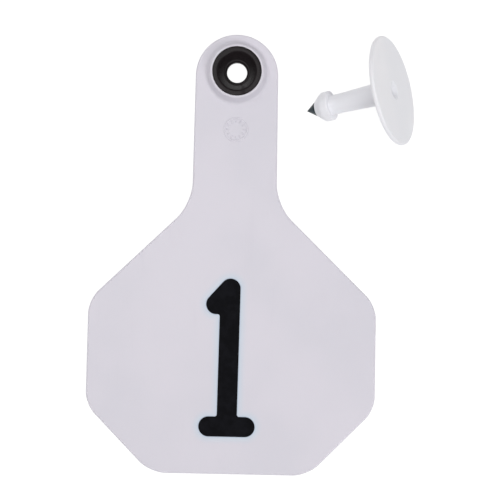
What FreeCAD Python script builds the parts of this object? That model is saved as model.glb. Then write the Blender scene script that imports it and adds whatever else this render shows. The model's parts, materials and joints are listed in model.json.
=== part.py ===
"""Two-piece livestock ear tag: a printed panel with its locking collar, and its stud button.

The panel lies on its flat back, face up. The button lies beside the head of the panel,
leaning on the rim of its disc and on the barb behind its point.

Frame: millimetres, +Z up out of the printed face, +Y towards the rounded head.
Origin: the axis of the collar's bore, on the plane of the panel's flat back.
"""
import FreeCAD, Part
import math
import os
from collections import namedtuple
from FreeCAD import Vector

# ---- panel outline, from the head down to the foot ----
HEAD_TOP = 10.05            # bore axis to the top of the rounded head
NECK_WIDTH = 21.7           # neck across its sides, level with the bore
NECK_LENGTH = 34.7          # bore axis to the corner between neck and shoulder
NECK_BASE_WIDTH = 22.26     # neck across its sides at that corner
SHOULDER_RUN = 25.9         # height of the sloping shoulder
SHOULDER_WIDTH = 75.8       # across the two shoulder corners
SIDE_LENGTH = 27.5          # shoulder corner to lower corner
PANEL_WIDTH = 76.2          # across the two lower corners, the widest place
LOWER_RUN = 17.7            # height of the sloping lower edge
FOOT_WIDTH = 41.6           # straight bottom edge, corner to corner
NECK_FILLET = 13.2          # hollow round between neck and shoulder
SHOULDER_ROUND = 8.5
LOWER_CORNER_ROUND = 8.3
FOOT_ROUND = 9.7

# ---- panel section ----
PANEL_THICKNESS = 1.5
FACE_EDGE_ROUND = 0.45      # rounded edge all round the printed face
BACK_EDGE_BREAK = 0.25      # small chamfer all round the flat back

# ---- stiffening bead along neck and shoulder, on the printed face ----
BEAD_ROUND = 0.95           # radius of the bead's section
BEAD_HEIGHT = 0.5           # how far it stands above the face
BEAD_INSET = 1.4            # panel edge to the middle of the bead
BEAD_START_DROP = 14.3      # bore axis to the bead's upper end
BEAD_END_GAP = 1.0          # bead's lower end to the start of the shoulder round

# ---- head boss, which holds the collar ----
BOSS_FOOT_RADIUS = 8.0      # where the flank meets the face, before its hollow round
BOSS_HEIGHT = 2.5           # above the face
BOSS_LIP = 0.5              # width of the flat lip round the collar
BOSS_FOOT_FILLET = 0.9
BOSS_LIP_ROUND = 0.25

# ---- locking collar, moulded into the boss ----
BORE_RADIUS = 2.65           # hole that the stud snaps through
BORE_LENGTH = 1.2           # straight wall of that hole, from the back face
BORE_LEAD = 0.45            # chamfer between the bore and the ledge
LEDGE_WIDTH = 0.25          # flat ledge that the barb locks on
CUP_MOUTH_RADIUS = 5.1      # mouth of the cup that shelters the barb
COLLAR_RADIUS = 6.45        # outside, where it stands out of the boss
COLLAR_STAND = 0.2          # rim of the collar above the lip of the boss
RIM_OUTER_ROUND = 0.2       # rounds on the two edges of the collar's rim
RIM_INNER_ROUND = 0.55
FLANGE_RADIUS = 7.0         # buried flange that the boss grips
FLANGE_BOTTOM = 0.7
FLANGE_THICKNESS = 0.9
TAIL_RADIUS = 5.0           # collar's lower end, flush with the panel's back
BORE_ENTRY = 0.2            # small chamfer where the stud enters, on the back

# ---- numeral, inked into a shallow recess ----
NUMERAL_STROKE = 5.3        # width of every stroke
NUMERAL_INK_DEPTH = 0.2
NUMERAL_HEIGHT = 36.36      # the upright's middle line, from the foot's to its top end
NUMERAL_DROP = 0.7          # middle of the figure below the middle of the panel's sides
NUMERAL_CENTRE_X = -0.83    # middle of the foot, beside the panel's middle line
NUMERAL_LEAN = 0.33         # the upright's top stands this far to the right of its foot
NUMERAL_FOOT_HALF = 4.77    # half the foot's middle line
NUMERAL_FLAG_X = 3.68       # run of the flag, sideways
NUMERAL_FLAG_DROP = 4.15    # run of the flag, downwards
NUMERAL_INNER_ROUND = 0.6   # ink rounds the inner corners between the strokes

# ---- stud button: disc, stem and barb, moulded in one ----
DISC_RADIUS = 13.9
DISC_THICKNESS = 1.15
DISC_EDGE_ROUND = 0.45
STEM_ROOT_RADIUS = 3.0      # stem where it leaves the disc
STEM_ROOT_FILLET = 0.8
STEM_BORE_CLEARANCE = 0.1   # all round, between the stem's neck and the collar's bore
NECK_SEAT_LENGTH = 3.0      # straight neck behind the barb, which turns in the collar
GRIP_LENGTH = 16.2          # disc to the back of the barb
BARB_RADIUS = 3.85
BARB_LAND = 2.15            # barb's cylinder, before its edges are rounded
BARB_NOSE_ANGLE = 41.0      # half angle of the barb's nose
BARB_NOSE_ROUND = 1.2
BARB_BACK_ROUND = 0.2
PIN_HOLE_RADIUS = 1.3       # blind hole for the applicator's pin
PIN_HOLE_DEPTH = 15.5       # straight wall, from the mouth's inner end
PIN_MOUTH_RADIUS = 2.3
PIN_MOUTH_DEPTH = 1.1

# ---- piercing tip, a turned metal point set in the barb ----
TIP_LENGTH = 2.9
TIP_BASE_RADIUS = 2.05
TIP_POINT_RADIUS = 0.12     # slight flat at the very point
TIP_HEAD_SINK = 0.35        # the head's cylinder, sunk in the barb's nose
SHANK_RADIUS = 1.1
SHANK_LENGTH = 3.2
GROOVE_DEPTH = 0.3          # keying groove round the shank
GROOVE_WIDTH = 0.9

FINE_ROUND = 1.0            # turned rounds smaller than this are cut as two flats

# ---- where the button lies ----
STUD_GAP = 7.92             # side of the neck to the point, sideways
STUD_DROP = 9.7             # bore axis to the point, down the panel
STUD_HEADING = 10.9          # direction from the point to the disc, in degrees from +X

# ---- what follows from the sizes ----
SHOULDER_DROP = NECK_LENGTH + SHOULDER_RUN
LOWER_CORNER_DROP = SHOULDER_DROP + SIDE_LENGTH
FOOT_DROP = LOWER_CORNER_DROP + LOWER_RUN
NUMERAL_MIDDLE_DROP = SHOULDER_DROP + SIDE_LENGTH / 2 + NUMERAL_DROP
STUD_POINT_X = NECK_WIDTH / 2 + STUD_GAP
COLLAR_TOP = PANEL_THICKNESS + BOSS_HEIGHT + COLLAR_STAND
STEM_NECK_RADIUS = BORE_RADIUS - STEM_BORE_CLEARANCE
BARB_BACK_HEIGHT = DISC_THICKNESS + GRIP_LENGTH
BARB_FRONT_HEIGHT = BARB_BACK_HEIGHT + BARB_LAND
NOSE_LENGTH = (BARB_RADIUS - TIP_BASE_RADIUS) / math.tan(math.radians(BARB_NOSE_ANGLE))
NOSE_HEIGHT = BARB_FRONT_HEIGHT + NOSE_LENGTH
POINT_HEIGHT = NOSE_HEIGHT + TIP_LENGTH
SAME_HEIGHT = 1e-6          # edges this near to a height lie on it


Round = namedtuple("Round", "start middle end centre radius")


def in_plan(u, v):
    """A flat outline's point, on the plane of the panel's back."""
    return Vector(u, v, 0)


def in_section(u, v):
    """A turned profile's point: u from the axis, v along it."""
    return Vector(u, 0, v)


def unit(start, end):
    """Direction from one flat point to another, and their distance."""
    length = math.hypot(end[0] - start[0], end[1] - start[1])
    return (end[0] - start[0]) / length, (end[1] - start[1]) / length, length


def corner_round(before, corner, after, radius):
    """The arc that rounds a corner of an outline.

    Its radius is held to what the corner's two sides have room for.
    """
    back_x, back_y, back_length = unit(corner, before)
    on_x, on_y, on_length = unit(corner, after)
    half = math.acos(max(-1.0, min(1.0, back_x * on_x + back_y * on_y))) / 2
    room = 0.49 * min(back_length, on_length)
    reach = min(radius / math.tan(half), room)
    held = reach * math.tan(half)
    mid_x, mid_y, _ = unit((0, 0), (back_x + on_x, back_y + on_y))
    depth = held / math.sin(half)
    start = (corner[0] + back_x * reach, corner[1] + back_y * reach)
    middle = (corner[0] + mid_x * (depth - held), corner[1] + mid_y * (depth - held))
    end = (corner[0] + on_x * reach, corner[1] + on_y * reach)
    centre = (corner[0] + mid_x * depth, corner[1] + mid_y * depth)
    return Round(start, middle, end, centre, held)


def bend_edges(points, radius):
    """A round through its start, middle and end: an arc, or two flats where it is fine."""
    start, middle, end = points
    if radius < FINE_ROUND:
        return [Part.makeLine(start, middle), Part.makeLine(middle, end)]
    return [Part.Arc(start, middle, end).toShape()]


def rounded_edges(corners, place, closed=True):
    """Lines and arcs through corners, each given as (u, v, radius of its round)."""
    count = len(corners)
    edges = []
    last = None
    first = None
    for index, (u, v, radius) in enumerate(corners):
        is_end = not closed and index in (0, count - 1)
        if radius == 0 or is_end:
            start = end = (u, v)
            corner = []
        else:
            turn = corner_round(corners[index - 1][:2], (u, v),
                                corners[(index + 1) % count][:2], radius)
            start, end = turn.start, turn.end
            corner = bend_edges([place(*point) for point in turn[:3]], radius)
        if last is not None:
            edges.append(Part.makeLine(place(*last), place(*start)))
        edges += corner
        first = first or start
        last = end
    if closed:
        edges.append(Part.makeLine(place(*last), place(*first)))
    return edges


def turned(corners):
    """Solid of revolution about Z from the rounded corners of its half section."""
    wire = Part.Wire(rounded_edges(corners, in_section))
    return Part.Face(wire).revolve(Vector(0, 0, 0), Vector(0, 0, 1), 360)


# ---- panel ----

def side_corners():
    """Corners of the panel's right side, from the neck down to the foot."""
    return [
        (NECK_BASE_WIDTH / 2, -NECK_LENGTH, NECK_FILLET),
        (SHOULDER_WIDTH / 2, -SHOULDER_DROP, SHOULDER_ROUND),
        (PANEL_WIDTH / 2, -LOWER_CORNER_DROP, LOWER_CORNER_ROUND),
        (FOOT_WIDTH / 2, -FOOT_DROP, FOOT_ROUND),
    ]


def head_arc_ends():
    """Where the head's arc meets the drafted sides of the neck, and its top point."""
    draft = (NECK_BASE_WIDTH - NECK_WIDTH) / 2 / NECK_LENGTH
    slant = math.hypot(1, draft)
    radius = (NECK_WIDTH / 2 - draft * HEAD_TOP) / (slant - draft)
    centre_y = HEAD_TOP - radius
    side_x = radius / slant
    side_y = centre_y + radius * draft / slant
    return side_x, side_y


def panel_wire():
    """Closed outline: rounded head, drafted neck, sloping shoulders and eight corners."""
    side_x, side_y = head_arc_ends()
    right = side_corners()
    left = [(-x, y, radius) for x, y, radius in reversed(right)]
    run = [(side_x, side_y, 0)] + right + left + [(-side_x, side_y, 0)]
    edges = rounded_edges(run, in_plan, closed=False)
    head = Part.Arc(in_plan(-side_x, side_y), in_plan(0, HEAD_TOP), in_plan(side_x, side_y))
    return Part.Wire(edges + [head.toShape()])


def edges_at(solid, height):
    """Edges of a plate that lie wholly at one height."""
    return [edge for edge in solid.Edges
            if max(abs(vertex.Z - height) for vertex in edge.Vertexes) < SAME_HEIGHT]


def sheet():
    """The flat sheet of the panel with its rounded edges."""
    plate = Part.Face(panel_wire()).extrude(Vector(0, 0, PANEL_THICKNESS))
    plate = plate.makeFillet(FACE_EDGE_ROUND, edges_at(plate, PANEL_THICKNESS))
    return plate.makeChamfer(BACK_EDGE_BREAK, edges_at(plate, 0))


def inset_line(start, end):
    """Two points of the line that runs inside a side of the panel, at the bead's inset."""
    along_x, along_y, length = unit(start, end)
    off_x, off_y = along_y * BEAD_INSET, -along_x * BEAD_INSET
    return (start[0] + off_x, start[1] + off_y), (along_x, along_y), length


def crossing(point_a, along_a, point_b, along_b):
    """Where two lines cross, each given by a point and a direction."""
    across = along_a[0] * along_b[1] - along_a[1] * along_b[0]
    gap = (point_b[0] - point_a[0], point_b[1] - point_a[1])
    run = (gap[0] * along_b[1] - gap[1] * along_b[0]) / across
    return point_a[0] + along_a[0] * run, point_a[1] + along_a[1] * run


def bead_corners():
    """Middle line of the right-hand bead: down the neck, round the hollow, along the shoulder."""
    neck_base, shoulder, lower, _ = side_corners()
    neck_point, neck_along, _ = inset_line(head_arc_ends(), neck_base[:2])
    slope_point, slope_along, slope_length = inset_line(neck_base[:2], shoulder[:2])
    corner = crossing(neck_point, neck_along, slope_point, slope_along)
    start_run = (-BEAD_START_DROP - neck_point[1]) / neck_along[1]
    start = (neck_point[0] + neck_along[0] * start_run, -BEAD_START_DROP)
    shoulder_round = corner_round(neck_base[:2], shoulder[:2], lower[:2], SHOULDER_ROUND)
    taken = math.dist(shoulder_round.start, shoulder[:2])
    end_run = slope_length - taken - BEAD_END_GAP
    end = (slope_point[0] + slope_along[0] * end_run, slope_point[1] + slope_along[1] * end_run)
    return [(*start, 0), (*corner, NECK_FILLET + BEAD_INSET), (*end, 0)]


def bead():
    """One bead: a round bar along its middle line, sunk in the face, with ball ends."""
    height = PANEL_THICKNESS + BEAD_HEIGHT - BEAD_ROUND
    corners = bead_corners()
    path = Part.Wire(rounded_edges(corners, lambda u, v: Vector(u, v, height), closed=False))
    start = Vector(corners[0][0], corners[0][1], height)
    end = Vector(corners[-1][0], corners[-1][1], height)
    along = path.Edges[0].tangentAt(path.Edges[0].FirstParameter)
    section = Part.Wire(Part.makeCircle(BEAD_ROUND, start, along))
    bar = path.makePipe(Part.Face(section))
    return bar.fuse([Part.makeSphere(BEAD_ROUND, start), Part.makeSphere(BEAD_ROUND, end)])


def boss():
    """Raised ring on the head, with a sloping flank and a hollow round at its foot."""
    lip_radius = COLLAR_RADIUS + BOSS_LIP
    top = PANEL_THICKNESS + BOSS_HEIGHT
    skirt = BOSS_FOOT_RADIUS + BOSS_FOOT_FILLET
    return turned([
        (0, PANEL_THICKNESS / 2, 0),
        (skirt, PANEL_THICKNESS / 2, 0),
        (skirt, PANEL_THICKNESS, 0),
        (BOSS_FOOT_RADIUS, PANEL_THICKNESS, BOSS_FOOT_FILLET),
        (lip_radius, top, BOSS_LIP_ROUND),
        (0, top, 0),
    ])


def tag_panel():
    """The moulded panel, with the collar's seat and the numeral's recess."""
    left_bead = bead().mirror(Vector(0, 0, 0), Vector(1, 0, 0))
    body = sheet().fuse([boss(), bead(), left_bead])
    return body.cut([collar_envelope(), ink_numeral()]).removeSplitter()


# ---- locking collar ----

def collar_outside():
    """Corners of the collar's outside, from the back face up to the rim's outer edge."""
    flange_top = FLANGE_BOTTOM + FLANGE_THICKNESS
    return [
        (TAIL_RADIUS, 0, 0),
        (TAIL_RADIUS, FLANGE_BOTTOM, 0),
        (FLANGE_RADIUS, FLANGE_BOTTOM, 0),
        (FLANGE_RADIUS, flange_top, 0),
        (COLLAR_RADIUS, flange_top, 0),
        (COLLAR_RADIUS, COLLAR_TOP, RIM_OUTER_ROUND),
    ]


def collar_envelope():
    """The collar with its bore and cup filled in: the space it takes up in the panel."""
    return turned([(0, 0, 0)] + collar_outside() + [(0, COLLAR_TOP, 0)])


def locking_collar():
    """Stiff ring with the snap bore at the bottom of a cup for the barb."""
    ledge_height = BORE_LENGTH + BORE_LEAD
    ledge_radius = BORE_RADIUS + BORE_LEAD
    inside = [
        (CUP_MOUTH_RADIUS, COLLAR_TOP, RIM_INNER_ROUND),
        (ledge_radius + LEDGE_WIDTH, ledge_height, 0),
        (ledge_radius, ledge_height, 0),
        (BORE_RADIUS, BORE_LENGTH, 0),
        (BORE_RADIUS, BORE_ENTRY, 0),
        (BORE_RADIUS + BORE_ENTRY, 0, 0),
    ]
    return turned(collar_outside() + inside)


# ---- numeral ----

def stroke(start, end):
    """One round-ended stroke of the numeral, as a flat face."""
    along_x, along_y, length = unit(start, end)
    half = NUMERAL_STROKE / 2
    side_x, side_y = -along_y * half, along_x * half
    left_start = in_plan(start[0] + side_x, start[1] + side_y)
    right_start = in_plan(start[0] - side_x, start[1] - side_y)
    left_end = in_plan(end[0] + side_x, end[1] + side_y)
    right_end = in_plan(end[0] - side_x, end[1] - side_y)
    cap_start = in_plan(start[0] - along_x * half, start[1] - along_y * half)
    cap_end = in_plan(end[0] + along_x * half, end[1] + along_y * half)
    return Part.Face(Part.Wire([
        Part.Arc(left_start, cap_start, right_start).toShape(),
        Part.makeLine(right_start, right_end),
        Part.Arc(right_end, cap_end, left_end).toShape(),
        Part.makeLine(left_end, left_start),
    ]))


def ink_numeral():
    """The figure one: an upright, a short flag and a foot, as one thin layer of ink."""
    foot_middle = (NUMERAL_CENTRE_X, -NUMERAL_MIDDLE_DROP - NUMERAL_HEIGHT / 2)
    top = (NUMERAL_CENTRE_X + NUMERAL_LEAN, -NUMERAL_MIDDLE_DROP + NUMERAL_HEIGHT / 2)
    flag_end = (top[0] - NUMERAL_FLAG_X, top[1] - NUMERAL_FLAG_DROP)
    foot_left = (foot_middle[0] - NUMERAL_FOOT_HALF, foot_middle[1])
    foot_right = (foot_middle[0] + NUMERAL_FOOT_HALF, foot_middle[1])
    figure = stroke(foot_middle, top).fuse([stroke(flag_end, top), stroke(foot_left, foot_right)])
    figure = figure.removeSplitter().Faces[0]
    figure = figure.makeOffset2D(NUMERAL_INNER_ROUND).makeOffset2D(-NUMERAL_INNER_ROUND)
    ink = figure.extrude(Vector(0, 0, NUMERAL_INK_DEPTH))
    ink.translate(Vector(0, 0, PANEL_THICKNESS - NUMERAL_INK_DEPTH))
    return ink.Solids[0]


# ---- stud button, drawn about Z with its disc down and its point up ----

def stud_profile():
    """Half section of disc, stem and barb, as if solid, up to the barb's nose."""
    seat_height = BARB_BACK_HEIGHT - NECK_SEAT_LENGTH
    return [
        (0, 0, 0),
        (PIN_MOUTH_RADIUS, 0, 0),
        (DISC_RADIUS, 0, DISC_EDGE_ROUND),
        (DISC_RADIUS, DISC_THICKNESS, DISC_EDGE_ROUND),
        (STEM_ROOT_RADIUS, DISC_THICKNESS, STEM_ROOT_FILLET),
        (STEM_NECK_RADIUS, seat_height, 0),
        (STEM_NECK_RADIUS, BARB_BACK_HEIGHT, 0),
        (BARB_RADIUS, BARB_BACK_HEIGHT, BARB_BACK_ROUND),
        (BARB_RADIUS, BARB_FRONT_HEIGHT, BARB_NOSE_ROUND),
        (TIP_BASE_RADIUS, NOSE_HEIGHT, 0),
        (0, NOSE_HEIGHT, 0),
    ]


def pin_hole():
    """The applicator pin's blind hole with its flared mouth."""
    end = PIN_MOUTH_DEPTH + PIN_HOLE_DEPTH
    return turned([
        (0, 0, 0),
        (PIN_MOUTH_RADIUS, 0, 0),
        (PIN_HOLE_RADIUS, PIN_MOUTH_DEPTH, 0),
        (PIN_HOLE_RADIUS, end, 0),
        (0, end, 0),
    ])


def tip_upright():
    """Metal point with a sunk head and a grooved shank, standing point up."""
    head_bottom = NOSE_HEIGHT - TIP_HEAD_SINK
    shank_bottom = head_bottom - SHANK_LENGTH
    groove_top = head_bottom - (SHANK_LENGTH - GROOVE_WIDTH) / 2
    groove_radius = SHANK_RADIUS - GROOVE_DEPTH
    return turned([
        (0, shank_bottom, 0),
        (SHANK_RADIUS, shank_bottom, 0),
        (SHANK_RADIUS, groove_top - GROOVE_WIDTH, 0),
        (groove_radius, groove_top - GROOVE_WIDTH, 0),
        (groove_radius, groove_top, 0),
        (SHANK_RADIUS, groove_top, 0),
        (SHANK_RADIUS, head_bottom, 0),
        (TIP_BASE_RADIUS, head_bottom, 0),
        (TIP_BASE_RADIUS, NOSE_HEIGHT, 0),
        (TIP_POINT_RADIUS, POINT_HEIGHT, 0),
        (0, POINT_HEIGHT, 0),
    ])


def rest_rounds():
    """The two rounds that the lying button rests on: its rim's inner edge and its barb's nose."""
    profile = stud_profile()
    rim = profile.index((DISC_RADIUS, DISC_THICKNESS, DISC_EDGE_ROUND))
    nose = profile.index((BARB_RADIUS, BARB_FRONT_HEIGHT, BARB_NOSE_ROUND))
    return [corner_round(profile[at - 1][:2], profile[at][:2], profile[at + 1][:2], profile[at][2])
            for at in (rim, nose)]


def lay_down(shape):
    """Lay an upright button piece down, so that the disc's rim and the barb touch the ground.

    The rim touches with the ridge between its two flats, the barb with the arc of its nose.
    """
    rim, nose = rest_rounds()
    run = nose.centre[1] - rim.middle[1]
    fall = rim.middle[0] - nose.centre[0]
    lean = math.atan2(fall, run) - math.asin(nose.radius / math.hypot(run, fall))
    axis_height = nose.centre[0] * math.cos(lean) + nose.radius
    point_height = axis_height - (POINT_HEIGHT - nose.centre[1]) * math.sin(lean)
    laid = shape.copy()
    laid.translate(Vector(0, 0, -POINT_HEIGHT))
    laid.rotate(Vector(0, 0, 0), Vector(0, 1, 0), -(90 + math.degrees(lean)))
    laid.rotate(Vector(0, 0, 0), Vector(0, 0, 1), STUD_HEADING)
    laid.translate(Vector(STUD_POINT_X, -STUD_DROP, point_height))
    return laid


def stud_button():
    """Disc, stem and barb in one moulding, laid beside the panel."""
    body = turned(stud_profile()).cut([pin_hole(), tip_upright()])
    return lay_down(body)


def piercing_tip():
    """The metal point, laid down with the button that carries it."""
    return lay_down(tip_upright())


def main():
    """Write one STEP file for each piece."""
    pieces = {
        "tag_panel": tag_panel(),
        "locking_collar": locking_collar(),
        "ink_numeral": ink_numeral(),
        "stud_button": stud_button(),
        "piercing_tip": piercing_tip(),
    }
    os.makedirs("parts", exist_ok=True)
    for name, shape in pieces.items():
        shape.exportStep(os.path.join("parts", name + ".step"))


main()
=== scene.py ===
"""Looks of a two-piece livestock ear tag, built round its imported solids.

The panel lies on its flat back with its printed face up, and the stud button lies beside
its neck. Lengths are in metres, +Z is up out of the printed face, +Y runs to the rounded
head, and the origin is the axis of the collar's bore on the panel's back.
"""

import json
import logging
import math
from dataclasses import dataclass
from enum import Enum
from typing import Callable, Sequence

import bmesh
import bpy
from mathutils import Matrix, Vector


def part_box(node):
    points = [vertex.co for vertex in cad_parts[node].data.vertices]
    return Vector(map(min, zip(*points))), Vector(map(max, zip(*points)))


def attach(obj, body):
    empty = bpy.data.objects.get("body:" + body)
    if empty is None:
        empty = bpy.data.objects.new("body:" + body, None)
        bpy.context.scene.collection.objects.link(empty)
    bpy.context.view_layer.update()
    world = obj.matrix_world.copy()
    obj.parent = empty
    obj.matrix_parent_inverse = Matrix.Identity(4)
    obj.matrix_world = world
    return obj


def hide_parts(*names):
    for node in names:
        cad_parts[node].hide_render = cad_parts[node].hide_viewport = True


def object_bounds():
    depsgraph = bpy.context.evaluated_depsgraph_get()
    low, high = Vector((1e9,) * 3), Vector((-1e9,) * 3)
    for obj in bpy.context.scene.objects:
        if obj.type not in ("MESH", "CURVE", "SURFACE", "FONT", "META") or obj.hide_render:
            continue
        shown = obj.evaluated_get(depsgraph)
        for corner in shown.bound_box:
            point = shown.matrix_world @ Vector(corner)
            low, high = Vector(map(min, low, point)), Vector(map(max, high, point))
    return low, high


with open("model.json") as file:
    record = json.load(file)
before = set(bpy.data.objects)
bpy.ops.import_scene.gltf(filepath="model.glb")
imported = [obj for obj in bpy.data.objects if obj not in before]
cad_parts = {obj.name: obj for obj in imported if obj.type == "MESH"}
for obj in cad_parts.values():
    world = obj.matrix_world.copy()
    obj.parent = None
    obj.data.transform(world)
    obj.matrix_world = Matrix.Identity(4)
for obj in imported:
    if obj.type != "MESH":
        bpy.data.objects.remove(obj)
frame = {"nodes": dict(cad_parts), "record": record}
CAD_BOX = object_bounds()

MM = 0.001
BODY = "root"
SAME_PLACE = 0.001 * MM
SMOOTH_ANGLE = math.radians(32)
FULL_TURN = 2 * math.pi

log = logging.getLogger("ear_tag")


class Cut(Enum):
    """How a tool's shape is combined with a body."""

    REMOVE = "DIFFERENCE"
    ADD = "UNION"


class Pick(Enum):
    """Which kind of mesh element is picked in edit mode."""

    POINTS = "VERT"
    EDGES = "EDGE"
    FACES = "FACE"


class Slot(Enum):
    """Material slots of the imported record."""

    PANEL = "panel_plastic"
    COLLAR = "collar_plastic"
    INK = "numeral_ink"
    BUTTON = "button_plastic"
    TIP = "tip_metal"


@dataclass(frozen=True)
class Corner:
    """A corner of a drawn line.

    Attributes:
        u: First flat coordinate, or the distance from a turned piece's axis.
        v: Second flat coordinate, or the height along that axis.
        radius: Radius of the corner's round, or 0 where it stays sharp.
        steps: Number of short edges that make the round.
    """

    u: float
    v: float
    radius: float = 0.0
    steps: int = 5


Piece = bpy.types.Object
Material = bpy.types.Material
Tree = bpy.types.NodeTree
Socket = bpy.types.NodeSocket
Place = Callable[[float, float], Vector]


# ---- modelling bench: the few moves that every piece is made with ----

def in_plan(u: float, v: float) -> Vector:
    """A flat outline's point on the plane of the panel's back."""
    return Vector((u, v, 0.0))


def in_section(u: float, v: float) -> Vector:
    """A turned profile's point, u out from the axis and v along it."""
    return Vector((u, 0.0, v))


def clear_selection() -> None:
    """Leave edit mode and deselect every object."""
    active = bpy.context.view_layer.objects.active
    if active is not None and active.mode != "OBJECT":
        bpy.ops.object.mode_set(mode="OBJECT")
    bpy.ops.object.select_all(action="DESELECT")


def take(piece: Piece) -> None:
    """Make one object the only selected one and the active one.

    Args:
        piece: The object to work on.
    """
    clear_selection()
    piece.select_set(True)
    bpy.context.view_layer.objects.active = piece


def open_mesh(piece: Piece) -> None:
    """Open a mesh in edit mode with nothing picked.

    Args:
        piece: The object whose mesh is worked on.
    """
    take(piece)
    bpy.ops.object.mode_set(mode="EDIT")
    bpy.ops.mesh.select_mode(type=Pick.POINTS.value)
    bpy.ops.mesh.select_all(action="DESELECT")


def close_mesh() -> None:
    """Return from edit mode."""
    bpy.ops.object.mode_set(mode="OBJECT")


def pick(piece: Piece, kind: Pick, test: Callable[[object], bool]) -> int:
    """Pick the elements of an open mesh that pass a test.

    Args:
        piece: The object whose mesh is open.
        kind: Points, edges or faces.
        test: Takes one element and tells whether it is picked.

    Returns:
        How many elements were picked.
    """
    bpy.ops.mesh.select_mode(type=kind.value)
    bpy.ops.mesh.select_all(action="DESELECT")
    mesh = bmesh.from_edit_mesh(piece.data)
    elements = {Pick.POINTS: mesh.verts, Pick.EDGES: mesh.edges, Pick.FACES: mesh.faces}[kind]
    count = 0
    for element in elements:
        if test(element):
            element.select_set(True)
            count += 1
    mesh.select_flush_mode()
    bmesh.update_edit_mesh(piece.data)
    return count


def near(point: Vector, target: Vector) -> bool:
    """Whether two points are in the same place."""
    return (point - target).length < SAME_PLACE


def half_angle(before: Corner, at: Corner, after: Corner) -> float:
    """Half the angle between the two sides that meet at a corner.

    Args:
        before: The corner before.
        at: The corner itself.
        after: The corner after.

    Returns:
        The half angle in radians.
    """
    back = Vector((before.u - at.u, before.v - at.v))
    onward = Vector((after.u - at.u, after.v - at.v))
    return back.angle(onward) / 2


def draw(name: str, corners: Sequence[Corner], place: Place) -> Piece:
    """Draw a closed line corner by corner, each extruded from the last, and round it.

    Args:
        name: The new object's name.
        corners: The line's corners in order.
        place: Turns flat coordinates into a point in space.

    Returns:
        The drawn line as a mesh of edges.
    """
    clear_selection()
    points = [place(corner.u, corner.v) for corner in corners]
    bpy.ops.mesh.primitive_plane_add(size=MM, location=points[0])
    line = bpy.context.object
    line.name = line.data.name = name
    bpy.ops.object.transform_apply(location=True, rotation=True, scale=True)
    open_mesh(line)
    bpy.ops.mesh.select_all(action="SELECT")
    bpy.ops.mesh.merge(type="CENTER")
    for start, end in zip(points, points[1:]):
        bpy.ops.mesh.extrude_vertices_move(TRANSFORM_OT_translate={"value": end - start})
    pick(line, Pick.POINTS, lambda vert: near(vert.co, points[0]) or near(vert.co, points[-1]))
    bpy.ops.mesh.edge_face_add()
    for index, corner in enumerate(corners):
        if corner.radius == 0:
            continue
        half = half_angle(corners[index - 1], corner, corners[(index + 1) % len(corners)])
        pick(line, Pick.POINTS, lambda vert, at=points[index]: near(vert.co, at))
        bpy.ops.mesh.bevel(offset_type="OFFSET", offset=corner.radius / math.tan(half),
                           segments=corner.steps, affect="VERTICES", clamp_overlap=False)
    close_mesh()
    return line


def tidy_shell(piece: Piece) -> None:
    """Merge doubled points of a closed shell and turn its faces outwards.

    Args:
        piece: The object whose mesh is mended.
    """
    open_mesh(piece)
    bpy.ops.mesh.select_all(action="SELECT")
    bpy.ops.mesh.remove_doubles(threshold=SAME_PLACE / 10)
    bpy.ops.mesh.normals_make_consistent(inside=False)
    close_mesh()


def turn(name: str, corners: Sequence[Corner], steps: int) -> Piece:
    """Turn a closed half section about Z into a solid.

    Args:
        name: The new object's name.
        corners: The half section's corners, in order.
        steps: Number of faces round the axis.

    Returns:
        The turned piece.
    """
    piece = draw(name, corners, in_section)
    open_mesh(piece)
    bpy.ops.mesh.select_all(action="SELECT")
    bpy.ops.mesh.spin(steps=steps, angle=FULL_TURN, center=(0, 0, 0), axis=(0, 0, 1))
    close_mesh()
    tidy_shell(piece)
    return piece


def combine(body: Piece, tool: Piece, how: Cut) -> None:
    """Combine a body with a tool's shape, and remove the tool.

    Args:
        body: The object that is kept.
        tool: The object that is used up.
        how: Whether the tool's shape is added or removed.
    """
    take(body)
    modifier = body.modifiers.new(how.name.lower(), "BOOLEAN")
    modifier.operation = how.value
    modifier.solver = "EXACT"
    modifier.object = tool
    bpy.ops.object.modifier_apply(modifier=modifier.name)
    bpy.data.objects.remove(tool)


def join(pieces: Sequence[Piece]) -> Piece:
    """Join several objects into the first of them.

    Args:
        pieces: The objects, of which the first is kept.

    Returns:
        The joined object.
    """
    clear_selection()
    for piece in pieces:
        piece.select_set(True)
    bpy.context.view_layer.objects.active = pieces[0]
    bpy.ops.object.join()
    return bpy.context.object


def smooth(piece: Piece) -> None:
    """Shade curved faces smooth, and keep flat faces flat, by weighted normals.

    Args:
        piece: The finished object.
    """
    take(piece)
    bpy.ops.object.shade_smooth_by_angle(angle=SMOOTH_ANGLE)
    modifier = piece.modifiers.new("flat_faces", "WEIGHTED_NORMAL")
    modifier.keep_sharp = True
    bpy.ops.object.modifier_apply(modifier=modifier.name)


def lay(piece: Piece, matrix: Matrix) -> None:
    """Move a piece to its place, and keep the place in its mesh.

    Args:
        piece: The object to move.
        matrix: Turns the piece's own coordinates into the frame's.
    """
    take(piece)
    piece.matrix_world = matrix
    bpy.ops.object.transform_apply(location=True, rotation=True, scale=True)


def mount(name: str) -> dict:
    """One of the record's mounts, as it is written there.

    Args:
        name: The mount's name.

    Returns:
        The mount's entry.
    """
    return next(item for item in frame["record"]["mounts"] if item["name"] == name)


# ---- node sketching ----

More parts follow.
